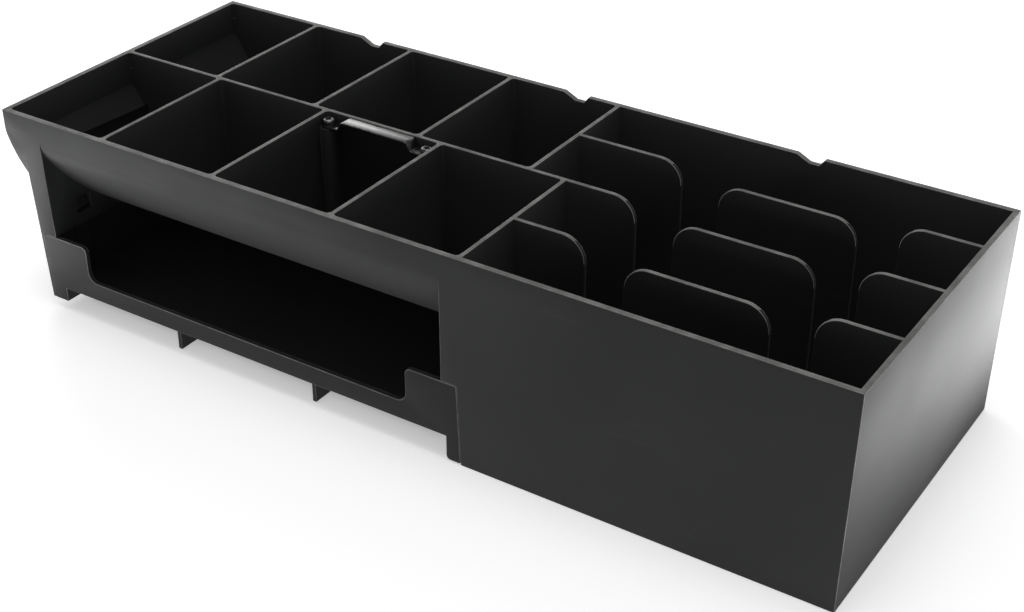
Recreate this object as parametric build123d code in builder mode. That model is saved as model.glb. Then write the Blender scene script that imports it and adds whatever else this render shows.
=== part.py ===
from build123d import *
from math import acos, asin, cos, degrees, radians, sin
import os

# Coin and note tray for a cash drawer. Millimetres, +Z up, origin in the middle of the footprint.
# The upper moulding holds two rows of coin cells and a note box. A shallow storage tray snaps in below
# the coin cells, and a steel lift handle is screwed to two bosses on the middle wall.

# Whole tray
length = 415.0
depth = 156.5
height = 97.5
left = -length / 2
right = length / 2
front = -depth / 2
back = depth / 2
overrun = 5.0
seam_gap = 0.3
draft_angle = 0.5
end_draft = 1.2

# Walls of the upper moulding
wall = 2.5
divider = 1.8
floor_thickness = 2.4
coin_base = 30.0
cell_corner = 2.0
floor_bevel = 1.0
mid_wall_y = 1.5
note_wall_front_x = 39.8
note_wall_back_x = 22.2
front_pitch = 62.7
back_pitch = 57.6
coin_cells = 4
coin_floor = coin_base + floor_thickness

# Receding front of the coin cells: upright, then two tangent arcs, the second running back as it falls
scoop_start = 10.9
scoop_lip_radius = 15.3
scoop_lip_turn = 34.7
scoop_run_share = 1.1645
scoop_fall = height - scoop_start - scoop_lip_radius * sin(radians(scoop_lip_turn)) - coin_base
scoop_run = scoop_fall * scoop_run_share
scoop_chord_turn = cos(radians(scoop_lip_turn)) * scoop_run - sin(radians(scoop_lip_turn)) * scoop_fall
scoop_radius = (scoop_run**2 + scoop_fall**2) / (2 * scoop_chord_turn)

# Undercut left end: one arc that starts at an angle below the rim, with a corner that draws in
end_scoop_start = 16.0
end_scoop_turn = 24.0
end_scoop_radius = 82.0
end_corner_radius = 110.0
end_corner_turn = 22.0
end_edge_round = 3.2

# Posts, jambs and skirts that carry the coin cells
jamb = 2.5
jamb_x = left + 21.2
jamb_flare = 1.4
right_jamb_x = 31.1
skirt = 1.6
skirt_x = left + 11.0
skirt_top = 68.0
skirt_bottom = 5.0
skirt_flare = 4.1
post_bottom = 38.5
box_draft = 1.4
skirt_lap = 8.0

# Notches in the rear rim
notch_pitch = 116.5
notch_width = 13.0
notch_depth = 3.0
notch_ramp = 6.0
notch_floor = 4.5
notches = 3

# Fins between the note channels
fin_pitch = 39.8
fin = 1.8
fin_foot = 2.8
fin_round = 10.5
fin_end = 33.0
fin_gap = 18.0
fin_drop = 4.8
fin_lead = 45.0

# Storage tray
tray_wall = 2.2
tray_under = 12.0
tray_top = post_bottom - seam_gap
bar_top = 20.9
cut_left = left + 41.0
cut_right = 13.1
cut_round = 5.0
cut_lip_round = 2.8
tray_step_y = front + 34.0
runner = 7.3
runner_edge = 2.0
rib = 2.0
rib_setback = 3.5
rib_first_x = left + 91.0
rib_second_x = left + 168.5
tray_rear_right = note_wall_back_x - divider / 2 - seam_gap
tray_back = back - wall - seam_gap
tray_floor = tray_under + tray_wall
tray_low_top = coin_base - seam_gap
right_runner = 6.5
right_runner_bottom = 0.6

# Snap hooks on the storage tray and tongues at its rear
hook_y = front + 20.0
hook_width = 8.0
hook_thickness = 2.0
hook_catch = 44.5
hook_head = 7.0
hook_barb = 1.9
tongue_width = 14.0
tongue_thickness = 2.5
tongue_z = 20.0
tongue_pitch = 110.0

# Lift handle, its screws and bosses
handle_cell = 1
handle_x = note_wall_front_x - front_pitch * handle_cell - front_pitch / 2
handle_width = 6.6
handle_steel = 1.2
handle_rise = 3.9
handle_foot_tail = 3.15
handle_foot_round = 2.9
handle_foot_room = 0.3
handle_lean = 2.0
handle_bend = 1.4
handle_top = height - seam_gap
screw_shank = 2.9
screw_length = 9.0
screw_head = 6.2
screw_head_room = 4.3
screw_head_height = 2.4
screw_crown = 0.6
recess_width = 0.9
recess_span = 3.4
recess_depth = 1.0
screw_fit = 0.05
screw_tip_room = 1.0
foot_hole_gap = 0.3
screw_spacing = front_pitch - divider - 2 * (handle_foot_tail + handle_foot_room)
handle_grip = screw_spacing - screw_head - 2 * (screw_head_room + handle_lean)
boss = 8.6
handle_y = mid_wall_y - divider / 2 - seam_gap - handle_width / 2
foot_top = handle_top - handle_rise
boss_top = foot_top - handle_steel

os.makedirs("parts", exist_ok=True)


def front_profile(inset, bottom):
    """Section of the coin cells, front to back, moved inwards by the wall."""
    turned = radians(scoop_lip_turn)
    centre = height - scoop_start + (scoop_radius - scoop_lip_radius) * sin(turned)
    turn = degrees(asin((centre - bottom) / (scoop_radius - inset))) - scoop_lip_turn
    face = front + inset
    rear = back - inset
    with BuildLine() as outline:
        rim = Line((face, height), (face, height - scoop_start))
        lip = JernArc(rim @ 1, (0, -1), scoop_lip_radius - inset, scoop_lip_turn)
        sweep = JernArc(lip @ 1, lip % 1, scoop_radius - inset, turn)
        Polyline(sweep @ 1, (rear, bottom), (rear, height), rim @ 0)
    make_face(outline.edges())


def end_profile(inset, stop, *corners):
    """Section of the undercut left end, moved inwards by the wall, closed over the given corners."""
    turned = radians(end_scoop_turn)
    centre_x = left + end_scoop_radius * cos(turned)
    centre_z = height - end_scoop_start + end_scoop_radius * sin(turned)
    radius = end_scoop_radius - inset
    start = degrees(acos((centre_x - left - inset) / radius))
    end = degrees(acos((centre_x - stop) / radius))
    with BuildLine() as outline:
        sweep = CenterArc((centre_x, centre_z), radius, 180 + start, end - start)
        Polyline(sweep @ 1, *corners, (left + inset, height), sweep @ 0)
    make_face(outline.edges())


def flare_at(z):
    """How far the skirt has moved inwards at a height."""
    return skirt_flare * (skirt_top - z) / (skirt_top - skirt_bottom)


# Left end, undercut below the rim, with a front corner that draws in beside the post and rounded edges
with BuildPart() as left_end:
    with BuildSketch(Plane.XZ.offset(depth / 2)):
        end_profile(0, jamb_x, (jamb_x, height))
    extrude(amount=-depth)
    with BuildSketch(Plane.YZ.offset(left)):
        with BuildLine() as corner:
            rim = Line((front, height), (front, height - end_scoop_start))
            sweep = JernArc(rim @ 1, (0, -1), end_corner_radius, end_corner_turn)
            Polyline(sweep @ 1, (back, (sweep @ 1).Y), (back, height), rim @ 0)
        make_face(corner.edges())
    extrude(amount=length, mode=Mode.INTERSECT)
    curved_edges = left_end.edges().filter_by(GeomType.LINE, reverse=True)
    fillet(curved_edges.filter_by(lambda edge: edge.center().X < skirt_x), end_edge_round)

# Coin cells behind the receding front, up to the note box
with BuildPart() as till_body:
    with BuildSketch(Plane.YZ.offset(jamb_x)):
        front_profile(0, coin_base)
    extrude(amount=note_wall_front_x - jamb_x)
    add(left_end.part)

    # Skirt down the left side
    with BuildSketch(Plane.XZ.offset(depth / 2)):
        with BuildLine():
            outer_top = (skirt_x - flare_at(skirt_top - skirt_lap), skirt_top + skirt_lap)
            outer_foot = (skirt_x + skirt_flare, skirt_bottom)
            Polyline(
                outer_top,
                outer_foot,
                (outer_foot[0] + skirt, skirt_bottom),
                (outer_top[0] + skirt, outer_top[1]),
                close=True,
            )
        make_face()
    extrude(amount=-depth)

    # Flush left post and right post
    with BuildSketch(Plane.XZ.offset(depth / 2)):
        with BuildLine():
            Polyline(
                (outer_top[0], height),
                outer_top,
                (skirt_x + flare_at(post_bottom), post_bottom),
                (jamb_x + jamb_flare, post_bottom),
                (jamb_x, height - scoop_start),
                (jamb_x, height),
                close=True,
            )
        make_face()
        with BuildLine():
            Polyline(
                (right_jamb_x, height),
                (right_jamb_x, post_bottom),
                (note_wall_front_x, post_bottom),
                (note_wall_front_x, height),
                close=True,
            )
        make_face()
    extrude(amount=-wall)

    # The same corner closed at the rear, down to the storage tray
    with BuildSketch(Plane.XZ.offset(-back)):
        with BuildLine():
            Polyline(
                outer_top,
                (skirt_x + flare_at(tray_under), tray_under),
                (jamb_x + jamb_flare, tray_under),
                (jamb_x, height - scoop_start),
                (jamb_x - jamb, outer_top[1]),
                close=True,
            )
        make_face()
    extrude(amount=wall)

    # Jambs behind the posts
    with BuildSketch(Plane.XZ.offset(depth / 2)):
        with BuildLine():
            Polyline(
                (jamb_x - jamb, height - scoop_start),
                (jamb_x - jamb, post_bottom),
                (jamb_x + jamb_flare, post_bottom),
                (jamb_x, height - scoop_start),
                close=True,
            )
        make_face()
    extrude(amount=-depth)
    with BuildSketch(Plane.XY.offset(post_bottom)):
        with BuildLine():
            Polyline(
                (right_jamb_x, front),
                (right_jamb_x + jamb, front),
                (right_jamb_x + jamb, mid_wall_y),
                (right_jamb_x, mid_wall_y),
                close=True,
            )
        make_face()
    extrude(amount=height - post_bottom)

    # Note box, with draft on its right end and beside the storage tray
    with BuildSketch(Plane.XZ.offset(depth / 2)):
        with BuildLine():
            Polyline(
                (note_wall_front_x - divider / 2 + box_draft, 0),
                (right - end_draft, 0),
                (right, height),
                (note_wall_front_x - divider / 2, height),
                (note_wall_front_x - divider / 2, post_bottom),
                close=True,
            )
        make_face()
    extrude(amount=-depth)
    with BuildSketch(Plane.XY):
        with BuildLine():
            Polyline(
                (note_wall_back_x - divider / 2, mid_wall_y - divider / 2),
                (note_wall_front_x, mid_wall_y - divider / 2),
                (note_wall_front_x, back),
                (note_wall_back_x - divider / 2, back),
                close=True,
            )
        make_face()
    extrude(amount=height)

    # Rear skirt over the storage tray
    with BuildSketch(Plane.XY.offset(tray_under)):
        with BuildLine():
            Polyline(
                (jamb_x, back - wall),
                (note_wall_back_x, back - wall),
                (note_wall_back_x, back),
                (jamb_x, back),
                close=True,
            )
        make_face()
    extrude(amount=coin_floor - tray_under)


def coin_cell_centres(wall_x, pitch):
    """Middle and width of each coin cell of a row, from the note box to the left end."""
    spans = []
    for i in range(coin_cells):
        far = wall_x - pitch * (i + 1) + divider / 2
        if i == coin_cells - 1:
            far = left + wall
        near = wall_x - pitch * i - divider / 2
        spans.append(((near + far) / 2, near - far))
    return spans


# Room inside the coin cells
with BuildPart() as coin_room:
    front_row = (front + wall, mid_wall_y - divider / 2)
    back_row = (mid_wall_y + divider / 2, back - wall)
    with BuildSketch(Plane.XY.offset(height)):
        for row, wall_x, pitch in (
            (front_row, note_wall_front_x, front_pitch),
            (back_row, note_wall_back_x, back_pitch),
        ):
            for centre, width in coin_cell_centres(wall_x, pitch):
                with Locations((centre, sum(row) / 2)):
                    Rectangle(width, row[1] - row[0])
    extrude(amount=coin_floor - height, taper=draft_angle)
    fillet(coin_room.edges().group_by(Axis.Z)[1], cell_corner)
    chamfer(coin_room.edges().group_by(Axis.Z)[0], floor_bevel)
    with BuildSketch(Plane.YZ.offset(left)):
        front_profile(wall, coin_floor)
    extrude(amount=length, mode=Mode.INTERSECT)
    with BuildSketch(Plane.XZ.offset(depth / 2)):
        end_profile(
            wall,
            jamb_x,
            (jamb_x + jamb_flare, post_bottom),
            (jamb_x + jamb_flare, coin_floor),
            (right, coin_floor),
            (right, height),
        )
    extrude(amount=-depth, mode=Mode.INTERSECT)

# Room inside the note box, an L in plan
with BuildPart() as note_room:
    with BuildSketch(Plane.XY.offset(height)):
        with BuildLine():
            Polyline(
                (note_wall_front_x + divider / 2, front + wall),
                (right - wall, front + wall),
                (right - wall, back - wall),
                (note_wall_back_x + divider / 2, back - wall),
                (note_wall_back_x + divider / 2, mid_wall_y + divider / 2),
                (note_wall_front_x + divider / 2, mid_wall_y + divider / 2),
                close=True,
            )
        make_face()
    extrude(amount=floor_thickness - height, taper=draft_angle)
    chamfer(note_room.edges().group_by(Axis.Z)[0], floor_bevel)


# Fins that part the note channels, thicker at the foot
note_wall = note_wall_front_x + divider / 2
room_right = right - wall
middle_fin = room_right - note_wall - fin_end - fin_gap - fin_end - fin_gap
middle_x = (note_wall + room_right) / 2
end_fin = fin_end + fin_lead
with BuildPart() as note_fins:
    with BuildSketch(Plane.XZ.offset(depth / 2)):
        for x, width, top in (
            (note_wall + fin_end - end_fin / 2, end_fin, height),
            (middle_x, middle_fin, height - fin_drop),
            (room_right - fin_end + end_fin / 2, end_fin, height),
        ):
            with Locations((x, top - height / 2 - fin_round / 2)):
                RectangleRounded(width, height + fin_round, fin_round)
    extrude(amount=-depth)
    with BuildSketch(Plane.YZ.offset(left)):
        for row in (-1, 0, 1):
            with BuildLine():
                y = mid_wall_y + row * fin_pitch
                Polyline(
                    (y - fin_foot / 2, 0),
                    (y + fin_foot / 2, 0),
                    (y + fin / 2, height),
                    (y - fin / 2, height),
                    close=True,
                )
            make_face()
    extrude(amount=length, mode=Mode.INTERSECT)
    add(note_room.part, mode=Mode.INTERSECT)

# Bosses for the handle screws, down the middle wall
with BuildPart() as handle_bosses:
    with BuildSketch(Plane.XY.offset(coin_base)):
        with Locations((handle_x - screw_spacing / 2, handle_y), (handle_x + screw_spacing / 2, handle_y)):
            Circle(boss / 2)
        with Locations(
            (handle_x - screw_spacing / 2, (handle_y + mid_wall_y) / 2),
            (handle_x + screw_spacing / 2, (handle_y + mid_wall_y) / 2),
        ):
            Rectangle(boss, mid_wall_y - handle_y)
    extrude(amount=boss_top - coin_base)
    with BuildSketch(Plane.XY.offset(boss_top)):
        with Locations((handle_x - screw_spacing / 2, handle_y), (handle_x + screw_spacing / 2, handle_y)):
            Circle(screw_shank / 2 + screw_fit)
    extrude(amount=-screw_length - screw_tip_room, mode=Mode.SUBTRACT)

# Notches in the rear rim, with one long ramp
with BuildPart() as rim_notches:
    with BuildSketch(Plane.XZ.offset(-back - overrun)):
        for i in range(notches):
            x = (i - (notches - 1) / 2) * notch_pitch - notch_width / 2
            with BuildLine():
                Polyline(
                    (x, height),
                    (x + notch_ramp, height - notch_depth),
                    (x + notch_ramp + notch_floor, height - notch_depth),
                    (x + notch_width, height),
                    close=True,
                )
            make_face()
    extrude(amount=wall + overrun + overrun)

# Windows for the snap hooks in both jambs, and slots for the rear tongues
left_hook_x = jamb_x - jamb - seam_gap
right_hook_x = right_jamb_x + jamb + seam_gap
tongue_x = (left_hook_x + tray_rear_right) / 2
tongue_spots = [(tongue_x - tongue_pitch / 2, 0), (tongue_x + tongue_pitch / 2, 0)]
with BuildPart() as catch_windows:
    with BuildSketch(Plane.XZ.offset(-hook_y + hook_width / 2 + seam_gap)):
        with Locations(
            (jamb_x - jamb / 2 + jamb_flare / 2, hook_catch + hook_head / 2),
            (right_jamb_x + jamb / 2, hook_catch + hook_head / 2),
        ):
            Rectangle(jamb + jamb_flare + seam_gap, hook_head + seam_gap + seam_gap)
    extrude(amount=-hook_width - seam_gap - seam_gap)
    with BuildSketch(Plane.XZ.offset(-back - overrun)):
        with Locations((0, tongue_z + tongue_thickness / 2)):
            with Locations(tongue_spots):
                Rectangle(tongue_width + seam_gap + seam_gap, tongue_thickness + seam_gap + seam_gap)
    extrude(amount=wall + overrun + seam_gap)

with till_body:
    add(coin_room.part, mode=Mode.SUBTRACT)
    add(note_room.part, mode=Mode.SUBTRACT)
    add(note_fins.part)
    add(handle_bosses.part)
    add(rim_notches.part, mode=Mode.SUBTRACT)
    add(catch_windows.part, mode=Mode.SUBTRACT)


def tray_left(z):
    """Left face of the storage tray, just inside the skirt."""
    return skirt_x + flare_at(z) + skirt + seam_gap


def tray_right(z):
    """Right face of the storage tray, along the drafted side of the note box."""
    return note_wall_front_x - divider / 2 - seam_gap + box_draft * (post_bottom - z) / post_bottom


# Room inside the storage tray, an L in plan beside the note box
with BuildPart() as tray_room:
    with BuildSketch(Plane.XZ.offset(-front - tray_wall)):
        with BuildLine():
            Polyline(
                (tray_left(tray_floor) + tray_wall, tray_floor),
                (tray_right(tray_floor) - tray_wall, tray_floor),
                (tray_right(height) - tray_wall, height),
                (tray_left(height) + tray_wall, height),
                close=True,
            )
        make_face()
    extrude(amount=front + tray_wall - tray_back + tray_wall)
    with BuildSketch(Plane.XY.offset(tray_floor)):
        with BuildLine():
            Polyline(
                (tray_rear_right - tray_wall, mid_wall_y - divider / 2 - seam_gap - tray_wall),
                (right, mid_wall_y - divider / 2 - seam_gap - tray_wall),
                (right, back),
                (tray_rear_right - tray_wall, back),
                close=True,
            )
        make_face()
    extrude(amount=height, mode=Mode.SUBTRACT)

# Storage tray: fascia with raised ends, floor, low walls, runners and ribs
with BuildPart() as storage_tray:
    with BuildSketch(Plane.XZ.offset(-front)):
        with BuildLine():
            Polyline(
                (tray_left(tray_under), tray_under),
                (tray_right(tray_under), tray_under),
                (tray_right(tray_top), tray_top),
                (tray_left(tray_top), tray_top),
                close=True,
            )
        make_face()
    extrude(amount=front - tray_back)
    with BuildSketch(Plane.XY):
        with BuildLine():
            Polyline(
                (tray_rear_right, mid_wall_y - divider / 2 - seam_gap),
                (right, mid_wall_y - divider / 2 - seam_gap),
                (right, back),
                (tray_rear_right, back),
                close=True,
            )
        make_face()
    extrude(amount=height, mode=Mode.SUBTRACT)
    add(tray_room.part, mode=Mode.SUBTRACT)

    # Walls under the coin cells stay below their floor
    with BuildSketch(Plane.XY.offset(tray_low_top)):
        with BuildLine():
            Polyline(
                (left_hook_x, tray_step_y),
                (right, tray_step_y),
                (right, back),
                (left_hook_x, back),
                close=True,
            )
        make_face()
    extrude(amount=height, mode=Mode.SUBTRACT)

    # Opening in the fascia
    with BuildSketch(Plane.XZ.offset(-front + overrun)) as opening:
        with BuildLine():
            Polyline(
                (cut_left, tray_top + overrun),
                (cut_left, bar_top),
                (cut_right, bar_top),
                (cut_right, tray_top + overrun),
                close=True,
            )
        make_face()
        fillet(opening.vertices().group_by(Axis.Y)[0], cut_round)
    extrude(amount=-overrun - tray_wall - seam_gap, mode=Mode.SUBTRACT)
    lips = storage_tray.edges().filter_by(Axis.Y).group_by(Axis.Z)[-1].sort_by(Axis.X)
    fillet([lip for lip in lips if cut_left - seam_gap < lip.center().X < cut_right + seam_gap], cut_lip_round)

# Runners and ribs that the tray stands on
with BuildPart() as tray_feet:
    with BuildSketch(Plane.XZ.offset(-front)) as runner_ends:
        with BuildLine():
            Polyline(
                (tray_left(tray_under), tray_under),
                (tray_left(skirt_bottom), skirt_bottom),
                (tray_left(0) + runner, skirt_bottom),
                (tray_left(0) + runner, tray_under),
                close=True,
            )
        make_face()
        with BuildLine():
            Polyline(
                (tray_right(tray_under), tray_under),
                (tray_right(right_runner_bottom), right_runner_bottom),
                (tray_right(tray_under) - right_runner, right_runner_bottom),
                (tray_right(tray_under) - right_runner, tray_under),
                close=True,
            )
        make_face()
        fillet(runner_ends.vertices().group_by(Axis.Y)[0].sort_by(Axis.X)[0], runner_edge)
    extrude(amount=front - tray_back)
    with BuildSketch(Plane.XY) as beside_note_box:
        with BuildLine():
            Polyline(
                (tray_rear_right, mid_wall_y - divider / 2 - seam_gap),
                (right, mid_wall_y - divider / 2 - seam_gap),
                (right, back),
                (tray_rear_right, back),
                close=True,
            )
        make_face()
    extrude(amount=height, mode=Mode.SUBTRACT)
    with BuildSketch(Plane.XY):
        for x, width in (
            (tray_left(tray_under) + runner / 2, runner),
            (tray_right(tray_under) - right_runner / 2, right_runner),
        ):
            with Locations((x, front + tray_wall + depth / 2)):
                Rectangle(width - tray_wall - tray_wall, depth)
    extrude(amount=tray_under, mode=Mode.SUBTRACT)
    with BuildSketch(Plane.XY):
        for x in (rib_first_x, rib_second_x):
            with Locations((x, (front + rib_setback + tray_back) / 2)):
                Rectangle(rib, tray_back - front - rib_setback)
    extrude(amount=tray_under)


def hook_outline(face, side):
    """Side view of a snap hook that stands on the tray floor, barb towards the given side."""
    head = hook_catch + hook_head
    with BuildLine() as outline:
        Polyline(
            (face, tray_under),
            (face, hook_catch),
            (face + side * hook_barb, hook_catch),
            (face + side * hook_barb, hook_catch + hook_thickness),
            (face, head),
            (face - side * hook_thickness, head),
            (face - side * hook_thickness, tray_under),
            close=True,
        )
    make_face(outline.edges())


# Snap hooks and rear tongues of the storage tray
with BuildPart() as tray_catches:
    with BuildSketch(Plane.XZ.offset(-hook_y + hook_width / 2)):
        hook_outline(left_hook_x, 1)
        hook_outline(right_hook_x, -1)
    extrude(amount=-hook_width)
    with BuildSketch(Plane.XZ.offset(-back)):
        with Locations((0, tongue_z + tongue_thickness / 2)):
            with Locations(tongue_spots):
                Rectangle(tongue_width, tongue_thickness)
    extrude(amount=wall + seam_gap + tray_wall)

with storage_tray:
    add(tray_feet.part)
    add(tray_catches.part)

# Lift handle: a steel strap with a raised grip and two screwed feet
foot_middle = foot_top - handle_steel / 2
grip_middle = handle_top - handle_steel / 2
foot_end = screw_spacing / 2 + handle_foot_tail
with BuildPart() as lift_handle:
    with BuildSketch(Plane.XZ.offset(-handle_y + handle_width / 2)):
        with BuildLine() as strap:
            FilletPolyline(
                (handle_x - foot_end, foot_middle),
                (handle_x - handle_grip / 2 - handle_lean, foot_middle),
                (handle_x - handle_grip / 2, grip_middle),
                (handle_x + handle_grip / 2, grip_middle),
                (handle_x + handle_grip / 2 + handle_lean, foot_middle),
                (handle_x + foot_end, foot_middle),
                radius=handle_bend,
            )
        trace(strap.line, line_width=handle_steel)
    extrude(amount=-handle_width)
    foot_corners = lift_handle.edges().filter_by(Axis.Z)
    fillet(foot_corners, handle_foot_round)
    with BuildSketch(Plane.XY.offset(foot_top + overrun)):
        with Locations((handle_x - screw_spacing / 2, handle_y), (handle_x + screw_spacing / 2, handle_y)):
            Circle(screw_shank / 2 + foot_hole_gap)
    extrude(amount=-overrun - overrun, mode=Mode.SUBTRACT)


def handle_screw(x):
    """Pan head screw with a cross recess, seated on a foot of the handle."""
    with BuildPart() as screw:
        with BuildSketch(Plane.XY.offset(foot_top)):
            with Locations((x, handle_y)):
                Circle(screw_head / 2)
        extrude(amount=screw_head_height)
        chamfer(screw.edges().group_by(Axis.Z)[-1], screw_crown)
        with BuildSketch(Plane.XY.offset(foot_top)):
            with Locations((x, handle_y)):
                Circle(screw_shank / 2)
        extrude(amount=-handle_steel - screw_length)
        with BuildSketch(Plane.XY.offset(foot_top + screw_head_height)):
            with Locations((x, handle_y)):
                Rectangle(recess_span, recess_width)
                Rectangle(recess_width, recess_span)
        extrude(amount=-recess_depth, mode=Mode.SUBTRACT)
    return screw


left_screw = handle_screw(handle_x - screw_spacing / 2)
right_screw = handle_screw(handle_x + screw_spacing / 2)

for name, made in (
    ("till_body", till_body),
    ("storage_tray", storage_tray),
    ("lift_handle", lift_handle),
    ("handle_screw_left", left_screw),
    ("handle_screw_right", right_screw),
):
    made.part.label = name
    export_step(made.part, f"parts/{name}.step")
    print(name, len(made.part.solids()), "solid", round(made.part.volume), "mm3")
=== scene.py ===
import math

import bmesh
import bpy
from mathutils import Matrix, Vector
from mathutils.bvhtree import BVHTree


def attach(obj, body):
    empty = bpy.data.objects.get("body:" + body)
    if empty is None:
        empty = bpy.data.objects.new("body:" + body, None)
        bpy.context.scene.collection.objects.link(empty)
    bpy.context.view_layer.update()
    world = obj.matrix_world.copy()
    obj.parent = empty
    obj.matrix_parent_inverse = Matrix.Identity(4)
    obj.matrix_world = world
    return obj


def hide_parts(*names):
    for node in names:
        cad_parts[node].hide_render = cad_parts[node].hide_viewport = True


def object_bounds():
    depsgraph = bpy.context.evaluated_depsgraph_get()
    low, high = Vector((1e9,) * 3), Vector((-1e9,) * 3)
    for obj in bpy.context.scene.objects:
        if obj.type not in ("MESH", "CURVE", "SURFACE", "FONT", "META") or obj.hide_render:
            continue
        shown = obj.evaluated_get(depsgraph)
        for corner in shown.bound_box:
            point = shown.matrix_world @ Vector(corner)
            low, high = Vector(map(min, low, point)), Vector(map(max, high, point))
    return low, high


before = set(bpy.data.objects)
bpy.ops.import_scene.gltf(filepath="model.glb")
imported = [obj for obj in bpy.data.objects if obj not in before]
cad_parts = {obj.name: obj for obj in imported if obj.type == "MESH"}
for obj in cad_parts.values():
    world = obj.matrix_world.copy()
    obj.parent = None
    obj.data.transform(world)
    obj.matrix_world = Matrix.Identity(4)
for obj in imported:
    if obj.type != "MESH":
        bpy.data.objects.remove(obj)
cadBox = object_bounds()
print("frame loaded:", ", ".join(sorted(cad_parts)))

# Camera, solved from the straight edges of the tray
cameraSetup = {
    "place": (0.3733, -0.5507, 0.4291),
    "target": (0.0765, -0.0953, 0.0975),
    "lens": 61.3,
    "sensor": 36.0,
    "nearest": 0.01,
}


def addCamera(setup):
    lens = bpy.data.cameras.new("photoCamera")
    lens.lens = setup["lens"]
    lens.sensor_width = setup["sensor"]
    lens.clip_start = setup["nearest"]
    viewer = bpy.data.objects.new("photoCamera", lens)
    viewer.location = setup["place"]
    aim = Vector(setup["target"]) - Vector(setup["place"])
    viewer.rotation_euler = aim.to_track_quat("-Z", "Y").to_euler()
    bpy.context.scene.collection.objects.link(viewer)
    bpy.context.scene.camera = viewer


addCamera(cameraSetup)
print("camera in place")

# Soft lamps over a white table, and light cards that lie on it outside the picture.
# A lamp has its place, width, height and power. A card has its turn in degrees after its place.
studio = {
    "aim": (0.0, 0.0, 0.05),
    "lamps": {
        "backLeftLamp": ((-0.76, 0.57, 0.45), 0.5, 0.4, 2.2),
        "backLamp": ((-0.3, 1.25, 0.95), 0.9, 0.5, 1.6),
        "topLamp": ((0.1, -0.1, 1.7), 0.8, 0.8, 8.0),
    },
    "cards": {
        "leftCard": ((-0.252, -0.168, 0.003), -41.0, 0.3, 0.13, 0.52),
        "rightCard": ((0.278, 0.135, 0.003), 19.0, 0.12, 0.5, 1.6),
    },
    "skyOnObject": 0.45,
    "skySeen": 1.0,
    "skyOverhead": 0.12,
    "skyBandTop": 0.08,
    "skyDarkFrom": 0.3,
    "tableColour": (0.92, 0.92, 0.92),
    "tableLift": 0.42,
    "tableRoughness": 0.9,
    "tableHalf": 6.0,
    "tableGap": 0.0002,
    # Box under the tray where the table's white lift is held back, so the ground there is painted darker as
    # shade
    "shadeMiddle": (-0.08, 0.005),
    "shadeHalf": (0.105, 0.075),
    "shadeRim": 0.02,
}


def addLight(name, place, width, height, power):
    lamp = bpy.data.lights.new(name, "AREA")
    lamp.shape = "RECTANGLE"
    lamp.size = width
    lamp.size_y = height
    lamp.energy = power
    lit = bpy.data.objects.new(name, lamp)
    lit.location = place
    bpy.context.scene.collection.objects.link(lit)
    return lit


def addLights(setup):
    for name, (place, *size) in setup["lamps"].items():
        towards = Vector(setup["aim"]) - Vector(place)
        addLight(name, place, *size).rotation_euler = towards.to_track_quat("-Z", "Y").to_euler()
    for name, (place, turn, *size) in setup["cards"].items():
        addLight(name, place, *size).rotation_euler = (math.pi, 0.0, math.radians(turn))


# Places of a mix node's sockets, which share their names between kinds of value
numberMix = {"first": 2, "second": 3, "result": 0}
colourMix = {"first": 6, "second": 7, "result": 2}


# How far a ray is one that shows the background: to the camera, in gloss or through glass
def addSeenRays(nodes, links):
    path = nodes.new("ShaderNodeLightPath")
    seen = path.outputs["Is Camera Ray"]
    for kind in ("Is Glossy Ray", "Is Transmission Ray"):
        either = nodes.new("ShaderNodeMath")
        either.operation = "MAXIMUM"
        links.new(seen, either.inputs[0])
        links.new(path.outputs[kind], either.inputs[1])
        seen = either.outputs["Value"]
    return seen


# White near the horizon and dim overhead, as in a studio with a dark ceiling
def addSky(setup):
    sky = bpy.data.worlds.new("studioSky")
    bpy.context.scene.world = sky
    sky.use_nodes = True
    nodes = sky.node_tree.nodes
    links = sky.node_tree.links
    nodes.clear()
    direction = nodes.new("ShaderNodeTexCoord")
    parts = nodes.new("ShaderNodeSeparateXYZ")
    links.new(direction.outputs["Generated"], parts.inputs["Vector"])
    fade = nodes.new("ShaderNodeMapRange")
    fade.interpolation_type = "SMOOTHSTEP"
    links.new(parts.outputs["Z"], fade.inputs["Value"])
    fade.inputs["From Min"].default_value = setup["skyBandTop"]
    fade.inputs["From Max"].default_value = setup["skyDarkFrom"]
    fade.inputs["To Min"].default_value = setup["skySeen"]
    fade.inputs["To Max"].default_value = setup["skyOverhead"]
    strength = nodes.new("ShaderNodeMix")
    links.new(addSeenRays(nodes, links), strength.inputs["Factor"])
    strength.inputs[numberMix["first"]].default_value = setup["skyOnObject"]
    links.new(fade.outputs["Result"], strength.inputs[numberMix["second"]])
    air = nodes.new("ShaderNodeBackground")
    air.inputs["Color"].default_value = (1.0, 1.0, 1.0, 1.0)
    links.new(strength.outputs[numberMix["result"]], air.inputs["Strength"])
    out = nodes.new("ShaderNodeOutputWorld")
    links.new(air.outputs["Background"], out.inputs["Surface"])
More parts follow.
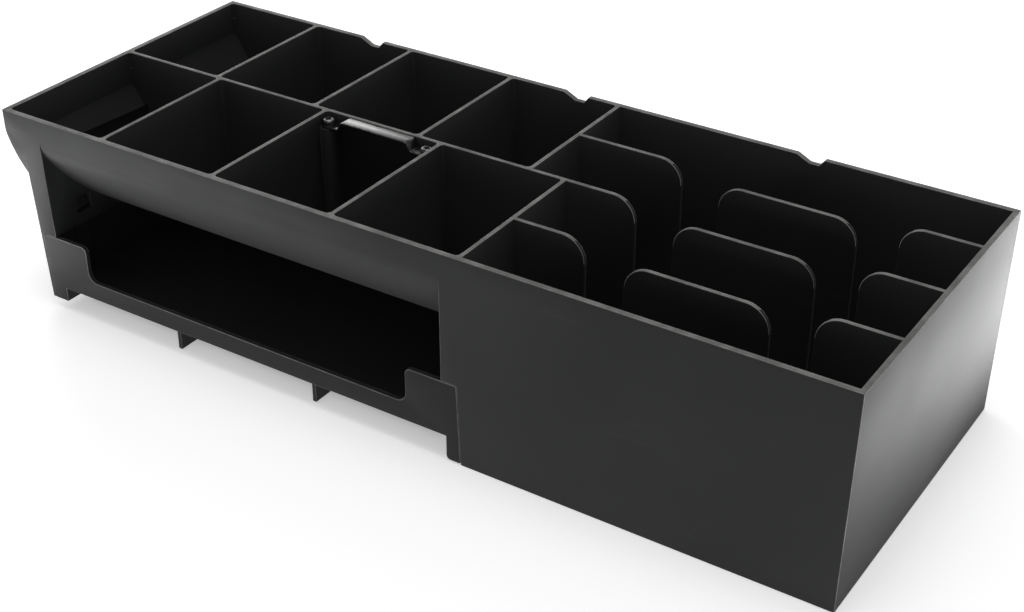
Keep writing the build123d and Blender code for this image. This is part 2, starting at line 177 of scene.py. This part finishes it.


# How far a place lies outside the painted shade under the tray: none inside, full beyond its soft rim
def addOutsidePaintedShade(nodes, links, setup):
    place = nodes.new("ShaderNodeTexCoord")
    parts = nodes.new("ShaderNodeSeparateXYZ")
    links.new(place.outputs["Object"], parts.inputs["Vector"])
    far = None
    for socket, middle, half in zip("XY", setup["shadeMiddle"], setup["shadeHalf"]):
        aside = nodes.new("ShaderNodeMath")
        aside.operation = "SUBTRACT"
        links.new(parts.outputs[socket], aside.inputs[0])
        aside.inputs[1].default_value = middle
        reach = nodes.new("ShaderNodeMath")
        reach.operation = "ABSOLUTE"
        links.new(aside.outputs["Value"], reach.inputs[0])
        fade = nodes.new("ShaderNodeMapRange")
        fade.interpolation_type = "SMOOTHSTEP"
        links.new(reach.outputs["Value"], fade.inputs["Value"])
        fade.inputs["From Min"].default_value = half - setup["shadeRim"]
        fade.inputs["From Max"].default_value = half
        if far is None:
            far = fade.outputs["Result"]
            continue
        either = nodes.new("ShaderNodeMath")
        either.operation = "MAXIMUM"
        links.new(far, either.inputs[0])
        links.new(fade.outputs["Result"], either.inputs[1])
        far = either.outputs["Value"]
    return far


def addTable(setup):
    shape = bmesh.new()
    bmesh.ops.create_grid(shape, x_segments=1, y_segments=1, size=setup["tableHalf"])
    bmesh.ops.translate(shape, verts=shape.verts, vec=(0, 0, -setup["tableGap"]))
    mesh = bpy.data.meshes.new("whiteTable")
    shape.to_mesh(mesh)
    shape.free()
    table = bpy.data.objects.new("whiteTable", mesh)
    bpy.context.scene.collection.objects.link(table)
    paint = bpy.data.materials.new("whiteTable")
    paint.use_nodes = True
    nodes = paint.node_tree.nodes
    links = paint.node_tree.links
    shader = nodes["Principled BSDF"]
    shader.inputs["Base Color"].default_value = (*setup["tableColour"], 1.0)
    shader.inputs["Roughness"].default_value = setup["tableRoughness"]
    shader.inputs["Emission Color"].default_value = (1.0, 1.0, 1.0, 1.0)
    lift = nodes.new("ShaderNodeMath")
    lift.operation = "MULTIPLY"
    links.new(addSeenRays(nodes, links), lift.inputs[0])
    # The lift is held back under the tray, which paints the ground there darker as shade, also in
    # reflections
    links.new(addOutsidePaintedShade(nodes, links, setup), lift.inputs[1])
    level = nodes.new("ShaderNodeMath")
    level.operation = "MULTIPLY"
    links.new(lift.outputs["Value"], level.inputs[0])
    level.inputs[1].default_value = setup["tableLift"]
    links.new(level.outputs["Value"], shader.inputs["Emission Strength"])
    mesh.materials.append(paint)


addLights(studio)
addSky(studio)
addTable(studio)
bpy.context.scene.view_settings.view_transform = "Standard"
print("studio lit")


# An empty node group, with its sockets given as labels and kinds
def newGroup(name, inputs, outputs):
    group = bpy.data.node_groups.new(name, "ShaderNodeTree")
    for side, sockets in (("INPUT", inputs), ("OUTPUT", outputs)):
        for label, kind in sockets.items():
            group.interface.new_socket(name=label, in_out=side, socket_type=kind)
    return group, group.nodes.new("NodeGroupInput"), group.nodes.new("NodeGroupOutput")


def addNoise(tree, place, scale, detail, roughness=0.5):
    noise = tree.nodes.new("ShaderNodeTexNoise")
    noise.inputs["Detail"].default_value = detail
    noise.inputs["Roughness"].default_value = roughness
    tree.links.new(place, noise.inputs["Vector"])
    if isinstance(scale, (int, float)):
        noise.inputs["Scale"].default_value = scale
    else:
        tree.links.new(scale, noise.inputs["Scale"])
    return noise.outputs["Fac"]


def addRange(tree, value, lowIn, highIn, lowOut, highOut):
    spread = tree.nodes.new("ShaderNodeMapRange")
    spread.interpolation_type = "SMOOTHSTEP"
    tree.links.new(value, spread.inputs["Value"])
    limits = {"From Min": lowIn, "From Max": highIn, "To Min": lowOut, "To Max": highOut}
    for socket, number in limits.items():
        spread.inputs[socket].default_value = number
    return spread.outputs["Result"]


def addMath(tree, operation, first, second):
    step = tree.nodes.new("ShaderNodeMath")
    step.operation = operation
    for socket, value in ((0, first), (1, second)):
        if isinstance(value, (int, float)):
            step.inputs[socket].default_value = value
        else:
            tree.links.new(value, step.inputs[socket])
    return step.outputs["Value"]


skinNoise = {
    "grainDetail": 3.0,
    "flowDetail": 4.0,
    "flowRoughness": 0.6,
}


# Fine grain of a moulded skin, with the slow mottling of the flow, from places in metres
def buildMouldedSkin(setup):
    group, given, result = newGroup(
        "mouldedSkin",
        {"Place": "NodeSocketVector", "Grain Scale": "NodeSocketFloat", "Flow Scale": "NodeSocketFloat"},
        {"Height": "NodeSocketFloat", "Flow": "NodeSocketFloat"},
    )
    place = given.outputs["Place"]
    grain = addNoise(group, place, given.outputs["Grain Scale"], setup["grainDetail"])
    flow = addNoise(group, place, given.outputs["Flow Scale"], setup["flowDetail"], setup["flowRoughness"])
    group.links.new(grain, result.inputs["Height"])
    group.links.new(flow, result.inputs["Flow"])
    return group


rubbedAndHighlightNoise = {
    "scale": 90.0,
    "detail": 5.0,
    "roughness": 0.65,
    "leastFrom": 0.35,
    "mostFrom": 0.7,
    "least": 0.5,
    "most": 1.0,
}


# Where rubbed edges show, and the painted highlight on the flat wall tops: the edge attribute of the mesh,
# broken up by a patchy noise
def buildRubbedEdgesAndTopHighlight(setup):
    group, given, result = newGroup(
        "rubbedEdgesAndTopHighlight",
        {"Place": "NodeSocketVector", "Edge": "NodeSocketFloat", "Amount": "NodeSocketFloat"},
        {"Mask": "NodeSocketFloat"},
    )
    patchy = addNoise(group, given.outputs["Place"], setup["scale"], setup["detail"], setup["roughness"])
    shown = addRange(group, patchy, setup["leastFrom"], setup["mostFrom"], setup["least"], setup["most"])
    rubbedAndTopHighlight = addMath(group, "MULTIPLY", shown, given.outputs["Edge"])
    group.links.new(addMath(group, "MULTIPLY", rubbedAndTopHighlight, given.outputs["Amount"]), result.inputs["Mask"])
    return group


scuffNoise = {
    "streakScale": 1.0,
    "patchScale": 22.0,
    "detail": 2.0,
    "streakFrom": 0.62,
    "streakFull": 0.72,
    "patchFrom": 0.45,
    "patchFull": 0.65,
}


# Hair-fine scuffs that run mostly one way, from stretched noise, in some patches only
def buildScuffs(setup):
    group, given, result = newGroup(
        "fineScuffs",
        {"Place": "NodeSocketVector", "Stretch": "NodeSocketVector", "Amount": "NodeSocketFloat"},
        {"Mask": "NodeSocketFloat"},
    )
    stretched = group.nodes.new("ShaderNodeVectorMath")
    stretched.operation = "MULTIPLY"
    group.links.new(given.outputs["Place"], stretched.inputs[0])
    group.links.new(given.outputs["Stretch"], stretched.inputs[1])
    streaks = addNoise(group, stretched.outputs["Vector"], setup["streakScale"], setup["detail"])
    patches = addNoise(group, given.outputs["Place"], setup["patchScale"], setup["detail"])
    thin = addRange(group, streaks, setup["streakFrom"], setup["streakFull"], 0.0, 1.0)
    some = addRange(group, patches, setup["patchFrom"], setup["patchFull"], 0.0, 1.0)
    both = addMath(group, "MULTIPLY", thin, some)
    group.links.new(addMath(group, "MULTIPLY", both, given.outputs["Amount"]), result.inputs["Mask"])
    return group


mouldedSkin = buildMouldedSkin(skinNoise)
rubbedEdgesAndTopHighlight = buildRubbedEdgesAndTopHighlight(rubbedAndHighlightNoise)
fineScuffs = buildScuffs(scuffNoise)


# A use of a node group at given places, with its other sockets set or linked
def placeGroup(tree, group, place, **values):
    used = tree.nodes.new("ShaderNodeGroup")
    used.node_tree = group
    tree.links.new(place, used.inputs["Place"])
    for label, value in values.items():
        socket = used.inputs[label.replace("_", " ")]
        if isinstance(value, (int, float, tuple)):
            socket.default_value = value
        else:
            tree.links.new(value, socket)
    return used


def addColourMix(tree, fac, first, second):
    mix = tree.nodes.new("ShaderNodeMix")
    mix.data_type = "RGBA"
    tree.links.new(fac, mix.inputs["Factor"])
    for place, colour in (("first", first), ("second", second)):
        socket = mix.inputs[colourMix[place]]
        if isinstance(colour, tuple):
            socket.default_value = (*colour, 1.0)
        else:
            tree.links.new(colour, socket)
    return mix.outputs[colourMix["result"]]


def addBump(tree, height, strength, distance):
    bump = tree.nodes.new("ShaderNodeBump")
    bump.inputs["Strength"].default_value = strength
    bump.inputs["Distance"].default_value = distance
    tree.links.new(height, bump.inputs["Height"])
    return bump.outputs["Normal"]


# Black moulded plastic: satin skin, slightly paler where edges are rubbed, and paler on the flat wall tops
# as a painted highlight
def blackPlastic(look):
    paint = bpy.data.materials.new(look["name"])
    paint.use_nodes = True
    tree = paint.node_tree
    shader = tree.nodes["Principled BSDF"]
    place = tree.nodes.new("ShaderNodeTexCoord").outputs["Object"]
    edge = tree.nodes.new("ShaderNodeAttribute")
    edge.attribute_name = "wearAndTopHighlight"
    skin = placeGroup(tree, mouldedSkin, place, Grain_Scale=look["grainScale"], Flow_Scale=look["flowScale"])
    rubbedAndTopHighlight = placeGroup(tree, rubbedEdgesAndTopHighlight, place, Edge=edge.outputs["Fac"], Amount=look["rubbedAndTopHighlight"])
    scuffs = placeGroup(tree, fineScuffs, place, Stretch=look["scuffStretch"], Amount=look["scuffed"])
    mottled = addColourMix(tree, skin.outputs["Flow"], look["dark"], look["light"])
    wornOrHighlit = addMath(tree, "MAXIMUM", rubbedAndTopHighlight.outputs["Mask"], scuffs.outputs["Mask"])
    # The paler colour is wear on rubbed edges and scuffs, and a painted highlight on the flat wall tops
    tree.links.new(addColourMix(tree, wornOrHighlit, mottled, look["wornAndHighlightColour"]), shader.inputs["Base Color"])
    satin = addRange(tree, skin.outputs["Flow"], *look["flowRange"], look["smoothest"], look["roughest"])
    rougher = addMath(tree, "MULTIPLY", scuffs.outputs["Mask"], look["scuffRoughness"])
    tree.links.new(addMath(tree, "ADD", satin, rougher), shader.inputs["Roughness"])
    grain = addBump(tree, skin.outputs["Height"], look["grainStrength"], look["grainDepth"])
    tree.links.new(grain, shader.inputs["Normal"])
    shader.inputs["IOR"].default_value = look["ior"]
    shader.inputs["Sheen Weight"].default_value = look["sheen"]
    shader.inputs["Sheen Roughness"].default_value = look["sheenRoughness"]
    return paint


bodyLook = {
    "name": "tillBlackPlastic",
    "dark": (0.0074, 0.0082, 0.008),
    "light": (0.0112, 0.012, 0.0117),
    # Paler colour of rubbed edges and scuffs, also used as a painted highlight on the flat wall tops
    "wornAndHighlightColour": (0.32, 0.32, 0.308),
    "rubbedAndTopHighlight": 0.8,
    "scuffed": 0.02,
    "scuffStretch": (30.0, 700.0, 500.0),
    "scuffRoughness": 0.12,
    "flowRange": (0.3, 0.7),
    "smoothest": 0.66,
    "roughest": 0.72,
    "sheen": 0.1,
    "sheenRoughness": 0.4,
    "grainScale": 2600.0,
    "flowScale": 16.0,
    "grainStrength": 0.35,
    "grainDepth": 0.00006,
    "ior": 1.45,
}

trayLook = {
    **bodyLook,
    "name": "storageBlackPlastic",
    "dark": (0.008, 0.0086, 0.0083),
    "light": (0.0122, 0.0128, 0.0124),
    "smoothest": 0.68,
    "roughest": 0.74,
}


# Bright steel with a brushed grain along the strap
def brightSteel(look):
    paint = bpy.data.materials.new(look["name"])
    paint.use_nodes = True
    tree = paint.node_tree
    shader = tree.nodes["Principled BSDF"]
    place = tree.nodes.new("ShaderNodeTexCoord").outputs["Object"]
    skin = placeGroup(tree, mouldedSkin, place, Grain_Scale=look["grainScale"], Flow_Scale=look["flowScale"])
    brushed = placeGroup(tree, fineScuffs, place, Stretch=look["brushStretch"], Amount=look["brushed"])
    tinted = addColourMix(tree, skin.outputs["Flow"], look["dark"], look["light"])
    lined = addColourMix(tree, brushed.outputs["Mask"], tinted, look["lineColour"])
    tree.links.new(lined, shader.inputs["Base Color"])
    satin = addRange(tree, skin.outputs["Flow"], *look["flowRange"], look["smoothest"], look["roughest"])
    tree.links.new(satin, shader.inputs["Roughness"])
    brush = addBump(tree, brushed.outputs["Mask"], look["brushStrength"], look["brushDepth"])
    tree.links.new(brush, shader.inputs["Normal"])
    shader.inputs["Metallic"].default_value = 1.0
    return paint


handleLook = {
    "name": "bentSteel",
    "dark": (0.15, 0.15, 0.148),
    "light": (0.2, 0.2, 0.197),
    "lineColour": (0.12, 0.12, 0.118),
    "flowRange": (0.3, 0.7),
    "smoothest": 0.26,
    "roughest": 0.34,
    "grainScale": 3000.0,
    "flowScale": 120.0,
    "brushStretch": (120.0, 5000.0, 5000.0),
    "brushed": 0.5,
    "brushStrength": 0.3,
    "brushDepth": 0.00003,
}

screwLook = {
    **handleLook,
    "name": "zincScrew",
    "dark": (0.1, 0.1, 0.1),
    "light": (0.16, 0.16, 0.157),
    "lineColour": (0.08, 0.08, 0.08),
    "roughest": 0.38,
    "flowScale": 600.0,
}


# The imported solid's surface, to look up the nearest place on it
def skinOf(solid):
    packed = bmesh.new()
    packed.from_mesh(solid)
    skin = BVHTree.FromBMesh(packed)
    packed.free()
    return skin


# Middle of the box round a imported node
def middleOf(nodeName):
    corners = [Vector(corner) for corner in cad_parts[nodeName].bound_box]
    return sum(corners, Vector()) / len(corners)


# Marks the flat tops of the walls with a painted highlight, and the rounds of outward edges that hands reach
# with wear; both get the same paler colour
def markWearAndTopHighlight(shape, skin, rounds, edges):
    wear = shape.loops.layers.float.new("wearAndTopHighlight")
    spared = [middleOf(name).xy for name in edges["sparedRound"]]
    marks = {}
    for face in shape.faces:
        # Flat wall tops: a paler colour painted on as the highlight of the light falling on them
        if face.normal.z > edges["topFacing"] and face.calc_center_median().z > edges["topsAbove"]:
            marks[face] = edges["topPaintedHighlight"]
    for face in rounds:
        middle = face.calc_center_median()
        nearest, facing, index, distance = skin.find_nearest(middle)
        inside = min(cadBox[1][axis] - abs(middle[axis]) for axis in range(2))
        handled = middle.z > edges["roundsAbove"] or inside < edges["handledWithin"]
        if handled and (middle - nearest).dot(facing) < 0:
            marks[face] = edges["roundWear"]
    for face, mark in marks.items():
        middle = face.calc_center_median()
        beside = any((middle.xy - spot).length < edges["sparedWithin"] for spot in spared)
        for loop in face.loops:
            loop[wear] = 0.0 if beside and middle.z < edges["rimsAbove"] else mark


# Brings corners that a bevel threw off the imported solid, or out of its box, back onto it
def tuckCorners(shape, solid, skin, furthest):
    low, high = (
        [pick(corner.co[axis] for corner in solid.vertices) for axis in range(3)]
        for pick in (min, max)
    )
    for corner in shape.verts:
        nearest, facing, index, distance = skin.find_nearest(corner.co)
        if distance > furthest:
            corner.co = nearest
        for axis in range(3):
            corner.co[axis] = min(max(corner.co[axis], low[axis]), high[axis])


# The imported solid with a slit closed: the slit's flat wall is drawn out across it and joined on
def closedSolid(solid, slit):
    plug = bmesh.new()
    plug.from_mesh(solid)
    bmesh.ops.remove_doubles(plug, verts=plug.verts, dist=slit["within"])
    away = set()
    for corner in plug.verts:
        if abs(corner.co.x - slit["wall"]) > slit["within"] or corner.co.z > slit["top"]:
            away.update(corner.link_faces)
    bmesh.ops.delete(plug, geom=list(away), context="FACES")
    drawn = bmesh.ops.extrude_face_region(plug, geom=plug.faces[:])["geom"]
    moved = [item for item in drawn if isinstance(item, bmesh.types.BMVert)]
    bmesh.ops.translate(plug, verts=moved, vec=(slit["across"], 0, 0))
    bmesh.ops.recalc_face_normals(plug, faces=plug.faces)
    filling = bpy.data.meshes.new("slitFilling")
    plug.to_mesh(filling)
    plug.free()
    whole, added = (bpy.data.objects.new("slitFilling", mesh) for mesh in (solid, filling))
    for item in (whole, added):
        bpy.context.scene.collection.objects.link(item)
    union = whole.modifiers.new("slitFilling", "BOOLEAN")
    union.operation = "UNION"
    union.solver = "EXACT"
    union.object = added
    closed = bpy.data.meshes.new_from_object(whole.evaluated_get(bpy.context.evaluated_depsgraph_get()))
    for item in (whole, added):
        bpy.data.objects.remove(item)
    print("slit closed by", len(filling.polygons), "faces")
    return closed


# A copy of a imported solid with its sharp edges softened, its rounds marked for wear and its flat wall tops
# for a painted highlight
def softenedCopy(nodeName, pieceName, paint, edges, slit=None):
    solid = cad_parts[nodeName].data
    if slit:
        solid = closedSolid(solid, slit)
    shape = bmesh.new()
    shape.from_mesh(solid)
    bmesh.ops.remove_doubles(shape, verts=shape.verts, dist=edges["mergeWithin"])
    flat = math.radians(edges["flatWithin"])
    bmesh.ops.dissolve_limit(shape, angle_limit=flat, verts=shape.verts, edges=shape.edges)
    sharp = math.radians(edges["sharpOver"])
    corners = [edge for edge in shape.edges if edge.is_manifold and edge.calc_face_angle() > sharp]
    rounded = bmesh.ops.bevel(
        shape,
        geom=corners,
        offset=edges["round"],
        offset_type="OFFSET",
        segments=edges["segments"],
        profile=0.5,
        affect="EDGES",
        material=-1,
        clamp_overlap=False,
    )
    skin = skinOf(solid)
    markWearAndTopHighlight(shape, skin, rounded["faces"], edges)
    tuckCorners(shape, solid, skin, edges["furthest"])
    bmesh.ops.triangulate(shape, faces=[face for face in shape.faces if len(face.verts) > 4])
    mesh = bpy.data.meshes.new(pieceName)
    shape.to_mesh(mesh)
    shape.free()
    mesh.set_sharp_from_angle(angle=math.radians(edges["shadeSharpOver"]))
    for face in mesh.polygons:
        face.use_smooth = True
    mesh.materials.append(paint)
    piece = bpy.data.objects.new(pieceName, mesh)
    bpy.context.scene.collection.objects.link(piece)
    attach(piece, "root")
    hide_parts(nodeName)
    print(pieceName, "has", len(mesh.polygons), "faces")


mouldedEdges = {
    "mergeWithin": 0.000001,
    "flatWithin": 0.6,
    "sharpOver": 28.0,
    "round": 0.00025,
    "segments": 2,
    "furthest": 0.00028,
    "topFacing": 0.85,
    "topsAbove": 0.075,
    "roundsAbove": 0.06,
    "rimsAbove": 0.096,
    "sparedRound": ("handle_screw_left", "handle_screw_right"),
    "sparedWithin": 0.009,
    # How strongly the flat wall tops are painted paler as a highlight
    "topPaintedHighlight": 0.7,
    "roundWear": 1.0,
    "handledWithin": 0.006,
    "shadeSharpOver": 35.0,
}

strapEdges = {**mouldedEdges, "round": 0.0002}
screwEdges = {**mouldedEdges, "round": 0.00012}

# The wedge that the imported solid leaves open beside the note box, through its floor and its rear wall
boxSlit = {
    "wall": 0.0398,
    "top": 0.0138,
    "across": 0.0007,
    "within": 0.000001,
}

softenedCopy("till_body", "till_moulding", blackPlastic(bodyLook), mouldedEdges, boxSlit)
softenedCopy("storage_tray", "storage_moulding", blackPlastic(trayLook), mouldedEdges)
softenedCopy("lift_handle", "lift_strap", brightSteel(handleLook), strapEdges)
screwPaint = brightSteel(screwLook)
softenedCopy("handle_screw_left", "left_pan_screw", screwPaint, screwEdges)
softenedCopy("handle_screw_right", "right_pan_screw", screwPaint, screwEdges)
